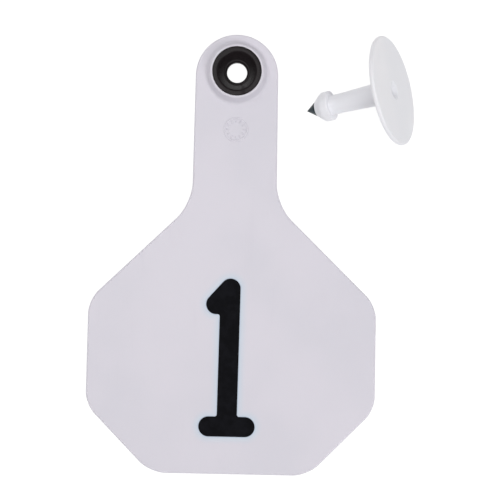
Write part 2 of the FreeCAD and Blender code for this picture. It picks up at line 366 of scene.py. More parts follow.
class Sketch:
    """Places and joins the nodes of one material or one node group."""

    def __init__(self, tree: Tree) -> None:
        """Start on an empty tree.

        Args:
            tree: The tree that the nodes go into.
        """
        self.tree = tree
        self.tree.nodes.clear()

    def feed(self, socket: Socket, value: object) -> None:
        """Join an output to a socket, or set the socket's own value.

        Args:
            socket: The input that is fed.
            value: An output socket or a plain value.
        """
        if isinstance(value, Socket):
            self.tree.links.new(value, socket)
        else:
            socket.default_value = value

    def node(self, kind: str, inputs: dict | None = None, **settings: object) -> bpy.types.Node:
        """Add a node.

        Args:
            kind: The node's type name, without its Shader Node prefix.
            inputs: Socket names or numbers, each with a value or an output socket to join.
            settings: The node's own settings.

        Returns:
            The new node.
        """
        made = self.tree.nodes.new("ShaderNode" + kind)
        for key, value in settings.items():
            setattr(made, key, value)
        for key, value in (inputs or {}).items():
            self.feed(made.inputs[key], value)
        return made

    def math(self, operation: str, first: object, second: object = 0.0, third: object = 0.0,
             clamp: bool = False) -> Socket:
        """Add a math node on up to three values or sockets, and return its output."""
        made = self.node("Math", {0: first, 1: second, 2: third}, operation=operation,
                         use_clamp=clamp)
        return made.outputs[0]

    def vector(self, operation: str, first: object, second: object = (0, 0, 0),
               scale: object = 1.0) -> bpy.types.Node:
        """Add a vector math node.

        Args:
            operation: The node's operation.
            first: First vector or socket.
            second: Second vector or socket.
            scale: Factor, read by the operation SCALE alone.

        Returns:
            The new node.
        """
        made = self.node("VectorMath", {0: first, 1: second}, operation=operation)
        if operation == "SCALE":
            self.feed(made.inputs["Scale"], scale)
        return made

    def ramp(self, value: object, start: float, end: float, low: float = 0.0,
             high: float = 1.0) -> Socket:
        """Carry a value smoothly from one range to another.

        Args:
            value: The socket that is read.
            start: Where the range begins.
            end: Where it ends.
            low: What comes out at the beginning.
            high: What comes out at the end.

        Returns:
            The output socket.
        """
        made = self.node("MapRange", {"Value": value, "From Min": start, "From Max": end,
                                      "To Min": low, "To Max": high},
                         interpolation_type="SMOOTHSTEP")
        return made.outputs["Result"]

    def mix(self, share: object, first: object, second: object, blend: str = "MIX"
            ) -> Socket:
        """Mix two colours by a share.

        Args:
            share: Share of the second colour.
            first: First colour or socket.
            second: Second colour or socket.
            blend: The way they are mixed.

        Returns:
            The mixed colour.
        """
        made = self.node("Mix", {"Factor": share}, data_type="RGBA", blend_type=blend)
        for name, value in (("A", first), ("B", second)):
            socket = next(item for item in made.inputs if item.name == name
                          and item.type == "RGBA")
            self.feed(socket, value)
        return next(item for item in made.outputs if item.type == "RGBA")

    def noise(self, place: object, scale: object, detail: float = 2.0,
              roughness: float = 0.5) -> Socket:
        """Add a noise texture and return its value."""
        made = self.node("TexNoise", {"Vector": place, "Scale": scale, "Detail": detail,
                                      "Roughness": roughness})
        return made.outputs["Fac"]

    def group(self, tree: Tree, inputs: dict) -> bpy.types.Node:
        """Place a node group with its own values.

        Args:
            tree: The group.
            inputs: The group's inputs by name, each with a value or a socket.

        Returns:
            The placed node.
        """
        made = self.tree.nodes.new("ShaderNodeGroup")
        made.node_tree = tree
        for key, value in inputs.items():
            self.feed(made.inputs[key], value)
        return made


def new_group(name: str, inputs: dict[str, str], outputs: dict[str, str]
              ) -> tuple[Tree, Sketch, bpy.types.Node, bpy.types.Node]:
    """Begin a node group with named inputs and outputs.

    Args:
        name: The group's name.
        inputs: Input names with their socket kinds.
        outputs: Output names with their socket kinds.

    Returns:
        The group, a sketch on it, and its input and output nodes.
    """
    tree = bpy.data.node_groups.new(name, "ShaderNodeTree")
    for direction, sockets in (("INPUT", inputs), ("OUTPUT", outputs)):
        for label, kind in sockets.items():
            tree.interface.new_socket(label, in_out=direction, socket_type="NodeSocket" + kind)
    sketch = Sketch(tree)
    start = tree.nodes.new("NodeGroupInput")
    end = tree.nodes.new("NodeGroupOutput")
    return tree, sketch, start, end


class Effects:
    """Surface effects that several finishes share, each built once as a node group."""

    def __init__(self) -> None:
        """Build every shared group."""
        self.grain = self.make_grain()
        self.drift = self.make_drift()
        self.scuffs = self.make_scuffs()
        self.dust = self.make_dust()
        self.stroke = self.make_stroke()

    def make_grain(self) -> Tree:
        """The fine etched grain that a mould leaves on plastic.

        Returns:
            The node group.
        """
        tree, sketch, start, end = new_group(
            "moulded_grain", {"Place": "Vector", "Scale": "Float"}, {"Height": "Float"})
        coarse = sketch.noise(start.outputs["Place"], start.outputs["Scale"], 3.0, 0.6)
        finer = sketch.math("MULTIPLY", start.outputs["Scale"], 3.7)
        fine = sketch.noise(start.outputs["Place"], finer, 2.0, 0.5)
        height = sketch.math("MULTIPLY_ADD", fine, 0.35, coarse)
        tree.links.new(height, end.inputs["Height"])
        return tree

    def make_drift(self) -> Tree:
        """Slow change of tone across a moulding, where the melt cooled unevenly.

        Returns:
            The node group.
        """
        tree, sketch, start, end = new_group(
            "tone_drift",
            {"Place": "Vector", "Scale": "Float", "Colour": "Color", "Other": "Color"},
            {"Colour": "Color", "Share": "Float"})
        slow = sketch.noise(start.outputs["Place"], start.outputs["Scale"], 2.0, 0.55)
        share = sketch.ramp(slow, 0.35, 0.68)
        mixed = sketch.mix(share, start.outputs["Colour"], start.outputs["Other"])
        tree.links.new(mixed, end.inputs["Colour"])
        tree.links.new(share, end.inputs["Share"])
        return tree

    def make_scuffs(self) -> Tree:
        """Hairline scuffs from handling, in two directions.

        Returns:
            The node group.
        """
        tree, sketch, start, end = new_group(
            "handling_scuffs", {"Place": "Vector", "Density": "Float"}, {"Mask": "Float"})
        masks = []
        for turn_angle, stretch in ((0.5, 34.0), (-0.85, 26.0)):
            turned = sketch.node("Mapping", {"Vector": start.outputs["Place"],
                                             "Rotation": (0.2, 0.1, turn_angle),
                                             "Scale": (stretch * 30, 60.0, 300.0)})
            lines = sketch.noise(turned.outputs["Vector"], 1.0, 1.0, 0.4)
            patches = sketch.noise(start.outputs["Place"], 90.0, 1.0)
            level = sketch.math("MULTIPLY_ADD", patches, start.outputs["Density"], lines)
            masks.append(sketch.ramp(level, 0.86, 0.93))
        both = sketch.math("MAXIMUM", masks[0], masks[1])
        tree.links.new(both, end.inputs["Mask"])
        return tree

    def make_dust(self) -> Tree:
        """A trace of settled dust on what faces up.

        Returns:
            The node group.
        """
        tree, sketch, start, end = new_group(
            "settled_dust", {"Place": "Vector", "Amount": "Float"}, {"Mask": "Float"})
        facing = sketch.node("NewGeometry")
        up = sketch.node("SeparateXYZ", {"Vector": facing.outputs["Normal"]})
        flat = sketch.ramp(up.outputs["Z"], 0.2, 0.95)
        specks = sketch.ramp(sketch.noise(start.outputs["Place"], 5200.0, 2.0, 0.7), 0.60, 0.72)
        mask = sketch.math("MULTIPLY", flat, specks)
        mask = sketch.math("MULTIPLY", mask, start.outputs["Amount"])
        tree.links.new(mask, end.inputs["Mask"])
        return tree

    def make_stroke(self) -> Tree:
        """Flat distance from a straight stroke's middle line.

        Returns:
            The node group.
        """
        tree, sketch, start, end = new_group(
            "stroke_distance", {"Place": "Vector", "Start": "Vector", "End": "Vector"},
            {"Distance": "Float"})
        flat = sketch.vector("MULTIPLY", start.outputs["Place"], (1, 1, 0)).outputs[0]
        away = sketch.vector("SUBTRACT", flat, start.outputs["Start"]).outputs[0]
        run = sketch.vector("SUBTRACT", start.outputs["End"], start.outputs["Start"]).outputs[0]
        along = sketch.vector("DOT_PRODUCT", away, run).outputs["Value"]
        square = sketch.vector("DOT_PRODUCT", run, run).outputs["Value"]
        share = sketch.math("DIVIDE", along, square, clamp=True)
        foot = sketch.vector("SCALE", run, scale=share).outputs[0]
        gap = sketch.vector("SUBTRACT", away, foot).outputs[0]
        distance = sketch.vector("LENGTH", gap).outputs["Value"]
        tree.links.new(distance, end.inputs["Distance"])
        return tree


Colour = tuple[float, float, float, float]


def linear(red: int, green: int, blue: int) -> Colour:
    """A display colour as the linear values that a shader takes.

    Args:
        red: Red, 0 to 255.
        green: Green, 0 to 255.
        blue: Blue, 0 to 255.

    Returns:
        Linear red, green, blue and an alpha of 1.
    """
    def one(value: int) -> float:
        """One channel."""
        share = value / 255
        return share / 12.92 if share <= 0.04045 else ((share + 0.055) / 1.055) ** 2.4

    return one(red), one(green), one(blue), 1.0


def new_material(name: str) -> tuple[Material, Sketch]:
    """Begin a material.

    Args:
        name: The material's name.

    Returns:
        The material and a sketch on its tree.
    """
    material = bpy.data.materials.new(name)
    material.use_nodes = True
    return material, Sketch(material.node_tree)


def wear(piece: Piece, material: Material) -> None:
    """Give a piece one material all over.

    Args:
        piece: The object.
        material: Its material.
    """
    piece.data.materials.clear()
    piece.data.materials.append(material)


Tint = Callable[[Sketch, Socket, Socket], Socket]


@dataclass(frozen=True)
class MouldedPlastic:
    """Satin flexible plastic, as it comes out of a grained mould.

    Attributes:
        name: The material's name.
        colour: Main colour.
        other: Colour that it drifts towards.
        roughness: Roughness before grain and scuffs add to it.
        drift: Fineness of the drift.
        dust: Share of settled dust.
        dust_colour: The dust's colour.
        scuffs: How thickly the scuffs lie.
        scuff_roughness: Roughness that a scuff adds.
        scuff_height: Height of a scuff, as a share of the grain's.
        grain: Fineness of the moulded grain.
        grain_roughness: Roughness that the grain adds.
        grain_strength: Strength of the grain's relief.
        grain_height: Height of the grain.
        ior: Index of refraction.
        shine: Level of the mirrored light.
        softness: Share of light that passes under the surface.
    """

    name: str
    colour: Colour
    other: Colour
    roughness: float
    drift: float = 38.0
    dust: float = 0.12
    dust_colour: Colour = linear(186, 180, 172)
    scuffs: float = 0.34
    scuff_roughness: float = 0.12
    scuff_height: float = -0.25
    grain: float = 2600.0
    grain_roughness: float = 0.10
    grain_strength: float = 0.35
    grain_height: float = 0.02 * MM
    ior: float = 1.49
    shine: float = 0.5
    softness: float = 0.12

    def build(self, effects: Effects, tint: Tint | None = None) -> Material:
        """Build the material.

        Args:
            effects: The shared node groups.
            tint: Changes the colour by place, or None.

        Returns:
            The material.
        """
        material, sketch = new_material(self.name)
        place = sketch.node("TexCoord").outputs["Object"]
        drift = sketch.group(effects.drift, {"Place": place, "Scale": self.drift,
                                             "Colour": self.colour, "Other": self.other})
        colour = drift.outputs["Colour"]
        if tint is not None:
            colour = tint(sketch, place, colour)
        dust = sketch.group(effects.dust, {"Place": place, "Amount": self.dust})
        colour = sketch.mix(dust.outputs["Mask"], colour, self.dust_colour)
        scuffs = sketch.group(effects.scuffs, {"Place": place, "Density": self.scuffs})
        scuff = scuffs.outputs["Mask"]
        grain = sketch.group(effects.grain, {"Place": place, "Scale": self.grain})
        relief = grain.outputs["Height"]
        rough = sketch.math("MULTIPLY_ADD", relief, self.grain_roughness, self.roughness)
        rough = sketch.math("MULTIPLY_ADD", scuff, self.scuff_roughness, rough)
        height = sketch.math("MULTIPLY_ADD", scuff, self.scuff_height, relief)
        bump = sketch.node("Bump", {"Height": height, "Strength": self.grain_strength,
                                    "Distance": self.grain_height})
        shader = sketch.node("BsdfPrincipled", {
            "Base Color": colour, "Roughness": rough, "Normal": bump.outputs["Normal"],
            "IOR": self.ior, "Specular IOR Level": self.shine,
            "Subsurface Weight": self.softness,
            "Subsurface Radius": (1.0, 0.9, 0.9), "Subsurface Scale": 0.6 * MM})
        sketch.node("OutputMaterial", {"Surface": shader.outputs["BSDF"]})
        return material


@dataclass(frozen=True)
class StiffBlack(MouldedPlastic):
    """Glossy black moulding of the locking collar."""

    name: str = "stiff_black"
    colour: Colour = linear(24, 19, 21)
    other: Colour = linear(31, 26, 28)
    roughness: float = 0.24
    drift: float = 160.0
    dust: float = 0.25
    dust_colour: Colour = linear(92, 88, 90)
    scuffs: float = 0.42
    scuff_roughness: float = 0.20
    scuff_height: float = 0.0
    grain: float = 3200.0
    grain_roughness: float = 0.06
    grain_strength: float = 0.25
    grain_height: float = 0.012 * MM
    ior: float = 1.5
    shine: float = 0.14
    softness: float = 0.0


@dataclass(frozen=True)
class TagInk(MouldedPlastic):
    """Flat black ink that has soaked into the plastic, where no scuff shows."""

    name: str = "tag_ink"
    colour: Colour = linear(15, 15, 18)
    other: Colour = linear(21, 21, 25)
    roughness: float = 0.47
    drift: float = 420.0
    dust_colour: Colour = linear(70, 70, 76)
    scuff_roughness: float = 0.0
    scuff_height: float = 0.0
    grain_roughness: float = 0.14
    grain_strength: float = 0.3
    grain_height: float = 0.015 * MM
    ior: float = 1.45
    shine: float = 0.03
    softness: float = 0.0


@dataclass(frozen=True)
class TurnedMetal:
    """Dark turned metal of the point, with fine tool rings round its axis."""

    colour: Colour = linear(48, 58, 63)
    other: Colour = linear(26, 33, 37)
    roughness: float = 0.30
    ring_pitch: float = 0.16 * MM

    def build(self, effects: Effects, upright: Matrix) -> Material:
        """Build the material.

        Args:
            effects: The shared node groups.
            upright: Turns the frame's coordinates into the button's own.

        Returns:
            The material.
        """
        material, sketch = new_material("turned_metal")
        place = sketch.node("TexCoord").outputs["Object"]
        turned = sketch.node("Mapping", {"Vector": place,
                                         "Rotation": upright.to_euler("XYZ"),
                                         "Location": upright.to_translation()})
        along = sketch.node("SeparateXYZ", {"Vector": turned.outputs["Vector"]}).outputs["Z"]
        wobble = sketch.noise(place, 900.0, 1.0)
        phase = sketch.math("MULTIPLY", along, FULL_TURN / self.ring_pitch)
        phase = sketch.math("MULTIPLY_ADD", wobble, 2.5, phase)
        rings = sketch.math("SINE", phase)
        drift = sketch.group(effects.drift, {"Place": place, "Scale": 500.0,
                                             "Colour": self.colour, "Other": self.other})
        scuffs = sketch.group(effects.scuffs, {"Place": place, "Density": 0.40})
        rough = sketch.math("MULTIPLY_ADD", scuffs.outputs["Mask"], 0.15, self.roughness)
        rough = sketch.math("MULTIPLY_ADD", rings, 0.04, rough)
        bump = sketch.node("Bump", {"Height": rings, "Strength": 0.35, "Distance": 0.006 * MM})
        shader = sketch.node("BsdfPrincipled", {
            "Base Color": drift.outputs["Colour"], "Roughness": rough, "Metallic": 1.0,
            "Normal": bump.outputs["Normal"]})
        sketch.node("OutputMaterial", {"Surface": shader.outputs["BSDF"]})
        return material


# ---- the pieces ----

@dataclass
class InkNumeral:
    """The printed figure one: an upright, a short flag and a foot."""

    node: str = "ink_numeral"
    stroke: float = 5.3 * MM
    foot_half: float = 4.77 * MM
    flag_run: float = 3.68 * MM
    flag_drop: float = 4.15 * MM
    lean: float = 0.33 * MM
    halo: float = 2.3 * MM
    halo_lap: float = 0.2 * MM
    halo_share: float = 0.95
    rim: float = 0.55 * MM
    rim_lap: float = 0.3 * MM
    rim_share: float = 0.8

    def __post_init__(self) -> None:
        """Take the figure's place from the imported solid."""
        low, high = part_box(self.node)
        half = self.stroke / 2
        self.face_height = high.z
        self.foot = Vector(((low.x + high.x) / 2, low.y + half, 0.0))
        self.top = Vector((self.foot.x + self.lean, high.y - half, 0.0))

    def strokes(self) -> list[tuple[Vector, Vector]]:
        """Start and end of each stroke's middle line.

        Returns:
            The two ends of each stroke.
        """
        flag = self.top - Vector((self.flag_run, self.flag_drop, 0.0))
        side = Vector((self.foot_half, 0.0, 0.0))
        return [(self.foot, self.top), (flag, self.top), (self.foot - side, self.foot + side)]

    def recess_tool(self) -> Piece:
        """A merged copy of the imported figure, to cut its recess with.

        Returns:
            The tool.
        """
        clear_selection()
        source = frame["nodes"][self.node]
        tool = source.copy()
        tool.data = source.data.copy()
        tool.parent = None
        for key in list(tool.keys()):
            del tool[key]
        bpy.context.scene.collection.objects.link(tool)
        tool.name = "recess_tool"
        tidy_shell(tool)
        return tool

    def tint(self, effects: Effects) -> Tint:
        """How the ink's solvent has paled and blued the plastic round the figure.

        Args:
            effects: The shared node groups.

        Returns:
            A function that changes a material's colour by place.
        """
        def apply(sketch: Sketch, place: Socket, colour: Socket) -> Socket:
            """Mix the bloom's colours into one material.

            Args:
                sketch: The material's nodes.
                place: Where a point lies.
                colour: The colour so far.

            Returns:
                The changed colour.
            """
            nearest: Socket | None = None
            for start, end in self.strokes():
                one = sketch.group(effects.stroke, {"Place": place, "Start": start, "End": end})
                distance = one.outputs["Distance"]
                if nearest is None:
                    nearest = distance
                else:
                    nearest = sketch.math("MINIMUM", nearest, distance)
            edge = self.stroke / 2
            wide = sketch.ramp(nearest, edge - self.halo_lap, edge + self.halo,
                               self.halo_share, 0.0)
            tight = sketch.ramp(nearest, edge - self.rim_lap, edge + self.rim,
                                self.rim_share, 0.0)
            outer = sketch.mix(wide, colour, linear(201, 210, 222))
            return sketch.mix(tight, outer, linear(170, 184, 204))

        return apply

    def dress(self, effects: Effects) -> None:
        """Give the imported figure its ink.

        Args:
            effects: The shared node groups.
        """
        wear(frame["nodes"][self.node], TagInk().build(effects))
        log.info("%s keeps its packed solid", self.node)


@dataclass
class MouldClock:
    """Raised ring and ticks that a mould's round insert leaves on the neck."""

    centre: Vector
    face_height: float
    radius: float = 3.0 * MM
    band: float = 0.45 * MM
    height: float = 0.14 * MM
    sink: float = 0.3 * MM
    ticks: int = 12
    tick_length: float = 0.75 * MM
    tick_width: float = 0.28 * MM
    ring_softness: float = 0.6
    tick_softness: float = 0.5
    steps: int = 72

    def ring(self) -> Piece:
        """The raised ring with softened edges.

        Returns:
            The ring.
        """
        outer = self.radius + self.band / 2
        inner = self.radius - self.band / 2
        soft = self.height * self.ring_softness
        return turn("clock_ring", [
            Corner(inner, -self.sink), Corner(outer, -self.sink),
            Corner(outer, self.height, soft, 3), Corner(inner, self.height, soft, 3)], self.steps)

    def tick(self, index: int) -> Piece:
        """One raised tick, turned to its hour.

        Args:
            index: Its number, counted from the top.

        Returns:
            The tick.
        """
        clear_selection()
        bpy.ops.mesh.primitive_cube_add(size=1.0)
        tick = bpy.context.object
        tick.name = f"clock_tick_{index}"
        depth = self.height + self.sink
        size = Matrix.Diagonal((self.tick_width, self.tick_length, depth, 1.0))
        reach = self.radius - self.band - self.tick_length / 2
        place = Matrix.Translation((0.0, reach, (self.height - self.sink) / 2))
        lay(tick, Matrix.Rotation(FULL_TURN * index / self.ticks, 4, "Z") @ place @ size)
        open_mesh(tick)
        pick(tick, Pick.EDGES, lambda edge: all(vert.co.z > 0 for vert in edge.verts))
        bpy.ops.mesh.bevel(offset=self.height * self.tick_softness, segments=2,
                           affect="EDGES", clamp_overlap=False)
        close_mesh()
        return tick

    def tool(self) -> Piece:
        """The whole mark, ready to be added to the panel.

        Returns:
            The ring and its ticks as one object.
        """
        marks = [self.ring()] + [self.tick(index) for index in range(self.ticks)]
        whole = join(marks)
        lay(whole, Matrix.Translation((self.centre.x, self.centre.y, self.face_height)))
        return whole


@dataclass
class TagPanel:
    """The flexible printed panel: head, neck, shoulders, eight corners and boss."""

    node: str = "tag_panel"
    name: str = "panel_moulding"
    neck_width: float = 21.7 * MM
    neck_length: float = 34.7 * MM
    neck_base_width: float = 22.26 * MM
    shoulder_run: float = 25.9 * MM
    shoulder_width: float = 75.8 * MM
    side_length: float = 27.5 * MM
    panel_width: float = 76.2 * MM
    foot_width: float = 41.6 * MM
    neck_fillet: float = 13.2 * MM
    shoulder_round: float = 8.5 * MM
    lower_round: float = 8.3 * MM
    foot_round: float = 9.7 * MM
    face_round: float = 0.45 * MM
    back_break: float = 0.25 * MM
    edge_spacing: float = 1.0 * MM
    boss_foot: float = 8.0 * MM
    boss_skirt: float = 0.9 * MM
    boss_lip: float = 0.5 * MM
    boss_round: float = 0.25 * MM
    clock_drop: float = 15.0 * MM
    collar_radius: float = 6.45 * MM
    collar_stand: float = 0.2 * MM
    flange_radius: float = 7.0 * MM
    flange_bottom: float = 0.7 * MM
    flange_top: float = 1.6 * MM
    tail_radius: float = 5.0 * MM
    pin_mark: float = 3.0 * MM
    pin_mark_depth: float = 0.08 * MM
    pin_mark_steps: int = 48
    pin_spread: float = 24 * MM
    neck_pin_drops: tuple[float, float] = (22 * MM, 44 * MM)
    panel_pin_drops: tuple[float, float] = (64 * MM, 88 * MM)
    steps: int = 128

    def __post_init__(self) -> None:
        """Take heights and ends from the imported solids."""
        low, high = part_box(self.node)
        self.head_top = high.y
        self.foot_drop = -low.y
        self.boss_top = high.z
        self.face_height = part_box("ink_numeral")[1].z

    def side(self) -> list[Corner]:
        """Corners of the right side, from the neck down to the foot.

        Returns:
            The four corners.
        """
        shoulder_drop = self.neck_length + self.shoulder_run
        lower_drop = shoulder_drop + self.side_length
        return [
            Corner(self.neck_base_width / 2, -self.neck_length, self.neck_fillet, 14),
            Corner(self.shoulder_width / 2, -shoulder_drop, self.shoulder_round, 12),
            Corner(self.panel_width / 2, -lower_drop, self.lower_round, 12),
            Corner(self.foot_width / 2, -self.foot_drop, self.foot_round, 12),
        ]

    def head(self, steps: int = 44) -> list[Corner]:
        """Points of the head's arc, from the left side of the neck over to the right.

        Args:
            steps: Number of short edges that make the arc.

        Returns:
            The points, as sharp corners.
        """
        draft = (self.neck_base_width - self.neck_width) / 2 / self.neck_length
        slant = math.hypot(1, draft)
        radius = (self.neck_width / 2 - draft * self.head_top) / (slant - draft)
        centre = self.head_top - radius
        lead = math.atan(draft)
        sweep = math.pi - 2 * lead
        angles = [math.pi - lead - sweep * step / steps for step in range(steps + 1)]
        return [Corner(radius * math.cos(angle), centre + radius * math.sin(angle))
                for angle in angles]

    def outline(self) -> Piece:
        """The drawn outline, with its long straight sides divided.

        Returns:
            The outline as a mesh of edges.
        """
        right = self.side()
        left = [Corner(-at.u, at.v, at.radius, at.steps) for at in reversed(right)]
        line = draw(self.name, self.head() + right + left, in_plan)
        open_mesh(line)
        while pick(line, Pick.EDGES, lambda edge: edge.calc_length() > 2 * self.edge_spacing):
            bpy.ops.mesh.subdivide(number_cuts=1)
        close_mesh()
        return line

    def sheet(self) -> Piece:
        """The flat sheet with rounded face edge and broken back edge.

        Returns:
            The sheet.
        """
        piece = self.outline()
        open_mesh(piece)
        bpy.ops.mesh.select_all(action="SELECT")
        bpy.ops.mesh.edge_face_add()
        bpy.ops.mesh.extrude_region_move(
            TRANSFORM_OT_translate={"value": (0, 0, self.face_height)})
        bpy.ops.mesh.select_all(action="SELECT")
        bpy.ops.mesh.normals_make_consistent(inside=False)
        for level, reach, steps in ((self.face_height, self.face_round, 5),
                                    (0.0, self.back_break, 1)):
            pick(piece, Pick.EDGES, lambda edge, at=level: all(
                abs(vert.co.z - at) < SAME_PLACE for vert in edge.verts))
            bpy.ops.mesh.bevel(offset=reach, segments=steps, affect="EDGES",
                               clamp_overlap=False)
        close_mesh()
        return piece

    def boss(self) -> Piece:
        """The raised ring on the head, with a sloping flank and a hollow foot.

        Returns:
            The boss, ready to be added.
        """
        skirt = self.boss_foot + self.boss_skirt
        base = self.face_height / 2
        return turn("boss", [
            Corner(0, base), Corner(skirt, base), Corner(skirt, self.face_height),
            Corner(self.boss_foot, self.face_height, self.boss_skirt, 6),
            Corner(self.collar_radius + self.boss_lip, self.boss_top, self.boss_round, 4),
            Corner(0, self.boss_top)], self.steps)

    def collar_seat(self) -> Piece:
        """The space that the locking collar takes up in the panel.

        Returns:
            The tool.
        """
        above = self.boss_top + MM
        return turn("collar_seat", [
            Corner(0, -MM), Corner(self.tail_radius, -MM),
            Corner(self.tail_radius, self.flange_bottom),
            Corner(self.flange_radius, self.flange_bottom),
            Corner(self.flange_radius, self.flange_top),
            Corner(self.collar_radius, self.flange_top),
            Corner(self.collar_radius, above), Corner(0, above)], self.steps)

    def pin_marks(self) -> Piece:
        """Round marks that the mould's ejector pins leave in the back.

        Returns:
            The tool that presses them in.
        """
        places = [(0.0, drop) for drop in self.neck_pin_drops]
        for across in (-self.pin_spread, self.pin_spread):
            places += [(across, drop) for drop in self.panel_pin_drops]
        marks = []
        for across, drop in places:
            clear_selection()
            bpy.ops.mesh.primitive_cylinder_add(vertices=self.pin_mark_steps,
                                                radius=self.pin_mark, depth=MM)
            mark = bpy.context.object
            lay(mark, Matrix.Translation((across, -drop, self.pin_mark_depth - MM / 2)))
            marks.append(mark)
        return join(marks)

    def build(self, numeral: InkNumeral, material: Material) -> None:
        """Model the panel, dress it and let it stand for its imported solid.

        Args:
            numeral: The figure that sits in the panel's recess.
            material: The panel's finish.
        """
        piece = self.sheet()
        combine(piece, self.boss(), Cut.ADD)
        combine(piece, self.collar_seat(), Cut.REMOVE)
        clock = MouldClock(Vector((0.0, -self.clock_drop, 0.0)), self.face_height)
        combine(piece, clock.tool(), Cut.ADD)
        combine(piece, numeral.recess_tool(), Cut.REMOVE)
        combine(piece, self.pin_marks(), Cut.REMOVE)
        tidy_shell(piece)
        smooth(piece)
        finish_piece(piece, material, self.node)


@dataclass
class LockingCollar:
    """The stiff black ring with its snap bore, ledge and cup."""

    node: str = "locking_collar"
    name: str = "collar_ring"
    bore_length: float = 1.2 * MM
    bore_lead: float = 0.45 * MM
    ledge: float = 0.25 * MM
    cup_mouth: float = 5.1 * MM
    rim_outer_round: float = 0.2 * MM
    rim_inner_round: float = 0.55 * MM
    bore_entry: float = 0.2 * MM
    ledge_round: float = 0.12 * MM
    ledge_foot_round: float = 0.06 * MM
    bore_round: float = 0.1 * MM
    steps: int = 144

    def __post_init__(self) -> None:
        """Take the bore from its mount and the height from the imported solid."""
        self.bore = mount("collar_bore")["dims"]["r_mm"] * MM
        self.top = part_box(self.node)[1].z

    def build(self, panel: TagPanel, material: Material) -> None:
        """Turn the collar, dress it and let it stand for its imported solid.

        Args:
            panel: The panel whose seat holds the collar.
            material: The collar's finish.
        """
        ledge_height = self.bore_length + self.bore_lead
        ledge_radius = self.bore + self.bore_lead
        piece = turn(self.name, [
            Corner(panel.tail_radius, 0), Corner(panel.tail_radius, panel.flange_bottom),
            Corner(panel.flange_radius, panel.flange_bottom),
            Corner(panel.flange_radius, panel.flange_top),
            Corner(panel.collar_radius, panel.flange_top),
            Corner(panel.collar_radius, self.top, self.rim_outer_round, 4),
            Corner(self.cup_mouth, self.top, self.rim_inner_round, 8),
            Corner(ledge_radius + self.ledge, ledge_height, self.ledge_round, 3),
            Corner(ledge_radius, ledge_height, self.ledge_foot_round, 3),
            Corner(self.bore, self.bore_length, self.bore_round, 3),
            Corner(self.bore, self.bore_entry),
            Corner(self.bore + self.bore_entry, 0)], self.steps)
        smooth(piece)
        finish_piece(piece, material, self.node)


